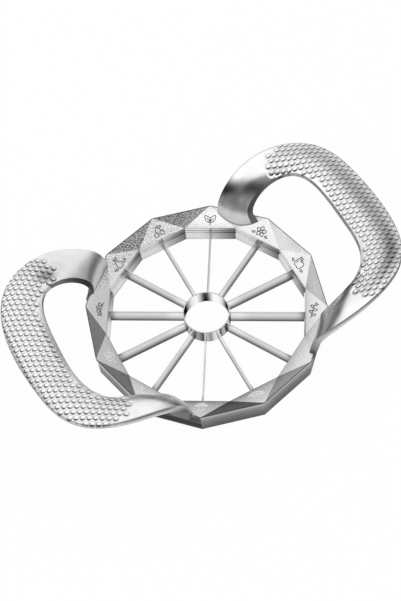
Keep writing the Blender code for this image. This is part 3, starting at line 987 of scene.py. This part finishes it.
# Where the ribbon runs: its edges, its middle and its sections, by place from 0 to 1 along it
class Ribbon:
    def __init__(self, size):
        scale = Vector((size["reach"], size["side"], size["rise"]))
        self.outer = [Vector(row[0]) * scale for row in size["edges"]]
        self.inner = [Vector(row[1]) * scale for row in size["edges"]]
        self.size = size

    def middle(self, place):
        return (splinePoint(self.outer, place) + splinePoint(self.inner, place)) / 2

    # Height of the crown: low at the far foot, full elsewhere
    def crown(self, place):
        size = self.size
        rise = smooth((size["footFrom"] - place) / size["footFade"])
        return size["footCrown"] + (size["crown"] - size["footCrown"]) * rise

    def flare(self, place):
        return self.size["flare"] * splinePoint(self.size["flareShares"], place)

    # Matrix from (share across, way along, height) to the section at this place
    def section(self, place):
        across = splinePoint(self.outer, place) - splinePoint(self.inner, place)
        reach = self.size["wayReach"]
        ahead = self.middle(min(place + reach, 1)) - self.middle(max(place - reach, 0))
        up = ahead.cross(across).normalized()
        ahead.normalize()
        made = Matrix((across, ahead, up)).transposed().to_4x4()
        made.translation = self.middle(place)
        return made

    # Places of the sections, close together under the domes
    def places(self):
        size = self.size
        found, place = [0.0], 0.0
        while place < 1:
            near = size["gripFrom"] - size["gripMargin"] < place < size["gripTo"] + size["gripMargin"]
            step = size["gripStep" if near else "plainStep"]
            here, tick = self.middle(place), 0.00025
            gap = 2 * tick
            while place + gap < 1 and (self.middle(place + gap) - here).length < step:
                gap += tick
            place = min(place + gap, 1)
            found.append(place)
        return found


# Shares across that mark the two lower edges of the ribbon
lowerOuter, lowerInner = 2, 3


# The ribbon's outline across, as (x, z, share): a top that is crowned later, and a flat underside
def sectionPoints(size):
    shares = [0.5 - step / (size["topPoints"] - 1) for step in range(size["topPoints"])]
    low, under = -size["edgeThickness"], 0.5 - size["underInset"]
    high = low + size["underRound"]
    lower = [(-0.5, high, lowerInner), (-under, low, lowerInner), (under, low, lowerOuter)]
    return [*((share, 0, share) for share in shares), *lower, (0.5, high, lowerOuter)]


# Painted shade from soft blobs laid along and across the ribbon
def blobShade(tones, place, share):
    total = 0
    for middle, slant, across, placeReach, shareReach, tone in tones:
        far = ((place - middle - slant * share) / placeReach) ** 2 + ((share - across) / shareReach) ** 2
        total += tone * max(0, 1 - far) ** 2
    return min(total, 0.9)


# Painted shade at a corner of a section: on the top the dark edge line and the shade blobs, on the sides
# their painted shade by place and more low on the outer side
def cornerShade(tones, place, share):
    size = handleSize
    if abs(share) < 0.4999:
        rim = size["rimTone"] if share > size["rimShare"] and place < size["rimEnd"] else 0
        return max(rim, blobShade(tones, place, share))
    outer = 0 < share <= lowerOuter
    low, start = size["lowEnds"]
    fade = clamped((low - place) / (low - start)) if share == lowerOuter else 0
    return max(splinePoint(size["outerTones" if outer else "innerTones"], place), size["lowTone"] * fade)


def makeHandleMesh():
    size = handleSize
    ribbon = Ribbon(size)
    work = bmesh.new()
    names = ("across", "along", *handleShade)
    for name in names:
        work.verts.layers.float.new(name)
    shareLayer, placeLayer, *toneLayers = (work.verts.layers.float[name] for name in names)
    corners = []
    for x, z, share in sectionPoints(size):
        corners.append(work.verts.new((x, 0, z)))
        corners[-1][shareLayer] = share
    for here, corner in enumerate(corners):
        work.edges.new((corner, corners[(here + 1) % len(corners)]))
    loop = work.edges[:]
    current = Matrix.Identity(4)
    sections = []
    for place in ribbon.places():
        if sections:
            loop, corners = extruded(work, loop)
        target = ribbon.section(place)
        bmesh.ops.transform(work, matrix=target @ current.inverted(), verts=corners)
        current = target
        sections.append((place, target, corners))
    for place, section, corners in sections:
        crown = section.col[2].to_3d() * ribbon.crown(place)
        flare = section.col[0].to_3d().normalized() * ribbon.flare(place)
        for corner in corners:
            share = corner[shareLayer]
            corner[placeLayer] = place
            # Each handle's painted shade goes to its own layer
            for layer, tones in zip(toneLayers, handleShade.values()):
                corner[layer] = cornerShade(tones, place, share)
            if abs(share) < 0.5:
                corner.co += crown * (1 - (2 * share) ** 2)
            elif share == lowerInner:
                corner.co -= flare
    return work, ribbon, shareLayer, placeLayer


# True where a dome's middle may stand: inside the margins, and inside the rounded ends
def inGrip(place, share, width):
    size = handleSize
    margin = domeSize["outerMargin" if share > 0 else "innerMargin"]
    room = 0.5 - (margin + domeSize["radius"]) / width
    ends = min(place - size["gripFrom"], size["gripTo"] + size["gripSkew"] * share - place)
    if ends < 0:
        return False
    left = max(0, 1 - ends / domeSize["endRound"])
    return abs(share) < room * math.sqrt(1 - left**3)


def pointTree(points):
    tree = kdtree.KDTree(len(points))
    for index, point in enumerate(points):
        tree.insert(point, index)
    tree.balance()
    return tree


def addDomes(work, ribbon, shareLayer, placeLayer):
    dome = domeSize
    radius, steep = dome["radius"], dome["steep"]
    tops = [corner for corner in work.verts if abs(corner[shareLayer]) <= 0.5]
    finder = pointTree([(corner.co.x, corner.co.y, 0) for corner in tops])
    turn = Matrix.Rotation(dome["turn"], 2)
    centres = []
    cells = range(-40, 41)  # more than a handle needs to each side
    for row in cells:
        for column in cells:
            flat = Vector(((column + 0.5 * (row % 2)) * dome["pitch"], row * dome["rows"]))
            spot = (turn @ flat).to_3d()
            _, index, distance = finder.find(spot)
            if distance > dome["pitch"] / 4:
                continue
            place, share = tops[index][placeLayer], tops[index][shareLayer]
            width = (splinePoint(ribbon.outer, place) - splinePoint(ribbon.inner, place)).length
            if inGrip(place, share, width):
                centres.append(spot)
    domes = pointTree(centres)
    layers = [work.verts.layers.float[name] for name in handleShade]
    dropWays = [Vector(way).normalized() for way in dome["dropWays"]]
    ups = {}
    longWay = Matrix.Rotation(dome["turn"] + dome["lean"], 2) @ Vector((1, 0))
    shortWay = longWay.orthogonal()
    for corner in tops:
        spot, _, distance = domes.find((corner.co.x, corner.co.y, 0))
        if distance > dome["farthest"]:
            continue
        place, share = corner[placeLayer], corner[shareLayer]
        if place not in ups:
            ups[place] = ribbon.section(place).col[2].to_3d()
        offset = (corner.co - spot).to_2d()
        reach = math.hypot(offset.dot(longWay) / dome["stretch"], offset.dot(shortWay))
        bump = dome["height"] * (1 - smooth((reach - radius + steep) / steep))
        bump *= 1 - dome["fall"] * (reach / radius) ** 2
        fade = clamped(1 - (distance - radius) / dome["sinkFade"])
        corner.co += ups[place] * (max(0, bump) - dome["sink"] * smooth(fade))
        # Painted shade round each dome's foot: darkest on the side turned from the light, widened there into
        # dark spots, and faint on the sunk ground's slopes
        foot = (reach - radius) / dome["outline"]
        ground = dome["sunkGroundShade"] * 4 * fade * (1 - fade)  # painted shade on the slopes of the sunk ground
        for layer, way, spots in zip(layers, dropWays, dome["spots"]):
            facing = offset.dot(way) / distance if distance else 0
            ahead = max(0, 0.25 + 0.75 * facing)
            shade = dome["shadeBehind"] * (1 - ahead) + ahead
            spot = blobShade(spots, place, share) * max(0, facing)
            wide = 1 + dome["ahead"][0] * facing + dome["ahead"][1] * spot
            line = max(0, 1 - (foot / wide) ** 2)
            corner[layer] = 1 - (1 - corner[layer]) * (1 - line * shade) * (1 - ground)
    print("domes on a grip:", len(centres))


# A painted contact shadow follows the ring's surface round each foot
def paintContactShadow(work):
    ring = bmesh.new()
    for name in ("facetFrame", "clampRing"):
        ring.from_mesh(bpy.data.objects[name].data)
    finder = bvhtree.BVHTree.FromBMesh(ring)
    ring.free()
    layers = [work.verts.layers.float[name] for name in handleShade]
    for corner in work.verts:
        distance = finder.find_nearest(corner.co)[3]
        tone = handleSize["contactShadowTone"] * max(0, 1 - distance / handleSize["contactShadowReach"])
        for layer in layers:
            corner[layer] = max(corner[layer], tone)


def makeHandles():
    work, ribbon, shareLayer, placeLayer = makeHandleMesh()
    addDomes(work, ribbon, shareLayer, placeLayer)
    bmesh.ops.holes_fill(work, edges=[edge for edge in work.edges if len(edge.link_faces) == 1])
    bmesh.ops.recalc_face_normals(work, faces=work.faces[:])
    atEdge = {corner for corner in work.verts if abs(abs(corner[shareLayer]) - 0.5) < 1e-4}
    sides = [edge for edge in work.edges if set(edge.verts) <= atEdge]
    roundEdges(work, handleSize["edgeRound"], sharperThan=math.degrees(0.5), segments=4, edges=sides)
    paintContactShadow(work)
    mesh = meshOf("gripRight", work)
    turned = mesh.copy()
    turned.transform(turnZ(math.pi))
    # The left handle takes its own painted shade as its recess attribute
    turned.attributes.remove(turned.attributes["recess"])
    turned.attributes["recessTurned"].name = "recess"
    for name, made, node in (("gripRight", mesh, "right_handle"), ("gripLeft", turned, "left_handle")):
        made.shade_smooth()
        made.set_sharp_from_angle(angle=math.radians(handleSize["sharpAbove"]))
        piece = linkMesh(name, made, handleMetal)
        standFor(piece, "satin_cast_metal", node)


makeHandles()
print("handles ready")


# Camera, at the photograph's viewing angle

cameraSetup = {
    "azimuth": 9.33,
    "elevation": 59.81,
    "roll": -7.87,
    "distance": 0.62067,
    "slideRight": -0.00355,
    "slideUp": 0.00958,
    "aimHeight": 0.0026,
    "focalPixels": 1165.94,
    "imageHeight": 601,
}


def makeCamera():
    setup = cameraSetup
    azimuth, elevation, roll = (math.radians(setup[key]) for key in ("azimuth", "elevation", "roll"))
    flat = math.cos(elevation)
    back = Vector((math.sin(azimuth) * flat, -math.cos(azimuth) * flat, math.sin(elevation)))
    level = Vector((math.cos(azimuth), math.sin(azimuth), 0))
    up = back.cross(level)
    right = level * math.cos(roll) + up * math.sin(roll)
    up = up * math.cos(roll) - level * math.sin(roll)
    data = bpy.data.cameras.new("camera")
    data.sensor_fit = "AUTO"
    data.sensor_width = 36
    data.lens = setup["focalPixels"] * data.sensor_width / setup["imageHeight"]
    data.clip_start, data.clip_end = 0.01, 20
    camera = bpy.data.objects.new("camera", data)
    scene.collection.objects.link(camera)
    place = Matrix((right, up, back)).transposed().to_4x4()
    place.translation = back * setup["distance"] + right * setup["slideRight"] + up * setup["slideUp"]
    place.translation.z += setup["aimHeight"]
    camera.matrix_world = place
    scene.camera = camera


# Floor, light and the dark cards that a photographer stands round bright metal

studio = {
    "floorSize": 6,
    "floorGrey": 0.9,
    "floorWhite": 0.97,
    "worldLevel": 0.75,
    "tentRadius": 1.6,
    # The tent leans, so its dark band stands higher at the photographer's side
    "tentAxis": (0.182, 0.26, 0.948),
    # Cloth of the tent: (share of the way to its top, grey)
    "tentGreys": (
        (-1.0, 0.90), (-0.85, 0.87), (-0.70, 0.72), (-0.50, 0.36), (-0.35, 0.19), (-0.20, 0.12),
        (-0.05, 0.12), (0.05, 0.20), (0.15, 0.40), (0.25, 0.66), (0.36, 0.80), (0.50, 0.92), (1.0, 1.0),
    ),
    # Cards hung in the tent: (direction, radius in degrees, factor on the light there)
    "cards": (
        ((-0.60, 0.10, 0.79), 30, 1.12),
        ((-0.80, -0.05, 0.55), 16, 1.2),
        ((0.60, 0.30, 0.74), 18, 0.85),
        ((-0.08, -0.32, 0.94), 9, 1.3),
        ((-0.15, -0.80, 0.55), 15, 0.30),
        ((0.88, 0.36, -0.24), 15, 0.30),
        ((-0.90, 0.32, 0.26), 7, 0.45),
        ((-0.85, 0.52, 0.0), 7, 1.7),
        ((-0.20, 0.95, 0.21), 10, 0.85),
    ),
    "cardFade": (1.4, 0.6),  # a card fades between these shares of its radius
    # Card under the object: (metres from its middle, grey)
    "cardRadius": 0.088,
    "cardHeight": 0.0002,
    "cardGreys": (
        (0.0, 1.0), (0.018, 1.0), (0.024, 0.80), (0.05, 0.80), (0.056, 0.50), (0.061, 0.32), (0.066, 0.50),
        (0.072, 0.72), (0.088, 0.75),
    ),
    # Soft lamps: (name, place, aim, width, height, power)
    "lamps": (
        ("overhead", (-0.25, 0.35, 1.1), (0, 0, 0), 0.9, 0.7, 2.6),
        ("front", (-0.7, -0.7, 0.8), (0, 0, 0.02), 0.6, 0.5, 1.2),
    ),
}


# Adds a piece of the stage. Reflections see a reflector alone, and the other rays all but it
def addStage(name, work, material, reflector):
    piece = linkMesh(name, meshOf(name, work), material)
    piece.visible_glossy = reflector
    piece.visible_camera = piece.visible_diffuse = piece.visible_shadow = not reflector


def makeFloor():
    work = bmesh.new()
    bmesh.ops.create_grid(work, x_segments=1, y_segments=1, size=studio["floorSize"] / 2)
    pale = Surface("paleFloor", (studio["floorGrey"],) * 3, 0.9, metallic=0)
    pale.shader.inputs["Specular IOR Level"].default_value = 0
    white = pale.add("Emission", {"Strength": 1}).outputs["Emission"]
    amount = pale.maths("MULTIPLY", pale.seenRays(), studio["floorWhite"])
    mix = pale.add("MixShader", {"Fac": amount, 1: pale.shader.outputs["BSDF"], 2: white})
    addStage("paleFloor", work, pale.show(mix.outputs["Shader"]), reflector=False)


def makeWorld():
    world = NodeTree(bpy.data.worlds.new("softWorld"))
    background = world.tree.nodes["Background"].inputs
    background["Color"].default_value = (1, 1, 1, 1)
    world.join(world.ranged(world.seenRays(), studio["worldLevel"], 1, 0, 1), background["Strength"])
    scene.world = world.owner


# A light tent round the bright metal, seen by its reflections alone: pale, with a dark horizon
def makeTent():
    work = bmesh.new()
    bmesh.ops.create_uvsphere(work, u_segments=48, v_segments=24, radius=studio["tentRadius"])
    cloth = NodeTree(bpy.data.materials.new("tent"))
    way = cloth.add("VectorMath", {0: cloth.place()}, operation="NORMALIZE").outputs["Vector"]
    height = cloth.maths("ADD", cloth.along(way, Vector(studio["tentAxis"]).normalized()), 1)
    colour = cloth.ramp(height, 2, [(sine + 1, grey) for sine, grey in studio["tentGreys"]])
    strength = 1
    for direction, radius, light in studio["cards"]:
        near = cloth.along(way, Vector(direction).normalized())
        edge, core = (math.cos(math.radians(radius * share)) for share in studio["cardFade"])
        strength = cloth.maths("MULTIPLY", strength, cloth.ranged(near, 1, light, edge, core, "SMOOTHSTEP"))
    addStage("tent", work, cloth.glow(colour, strength), reflector=True)


# A card on the table, also for reflections alone, toned in rings as the cutter's shadow tones a real table
def makeTableCard():
    radius, place = studio["cardRadius"], lift(studio["cardHeight"])
    work = bmesh.new()
    bmesh.ops.create_circle(work, cap_ends=True, segments=96, radius=radius, matrix=place)
    card = NodeTree(bpy.data.materials.new("tableCard"))
    rings = card.ramp(card.length(card.place()), radius, studio["cardGreys"])
    addStage("tableCard", work, card.glow(rings), reflector=True)


def makeSoftbox(name, place, aim, width, height, power):
    data = bpy.data.lights.new(name, "AREA")
    data.shape = "RECTANGLE"
    data.size, data.size_y = width, height
    data.energy = power
    lamp = bpy.data.objects.new(name, data)
    scene.collection.objects.link(lamp)
    lamp.location = place
    lamp.rotation_mode = "QUATERNION"
    lamp.rotation_quaternion = (Vector(aim) - Vector(place)).to_track_quat("-Z", "Y")
    lamp.visible_glossy = False  # the metal shows the tent alone


makeCamera()
makeFloor()
makeWorld()
makeTent()
makeTableCard()
for lamp in studio["lamps"]:
    makeSoftbox(*lamp)
print("camera, floor and light ready")

scene.view_settings.view_transform = "Standard"
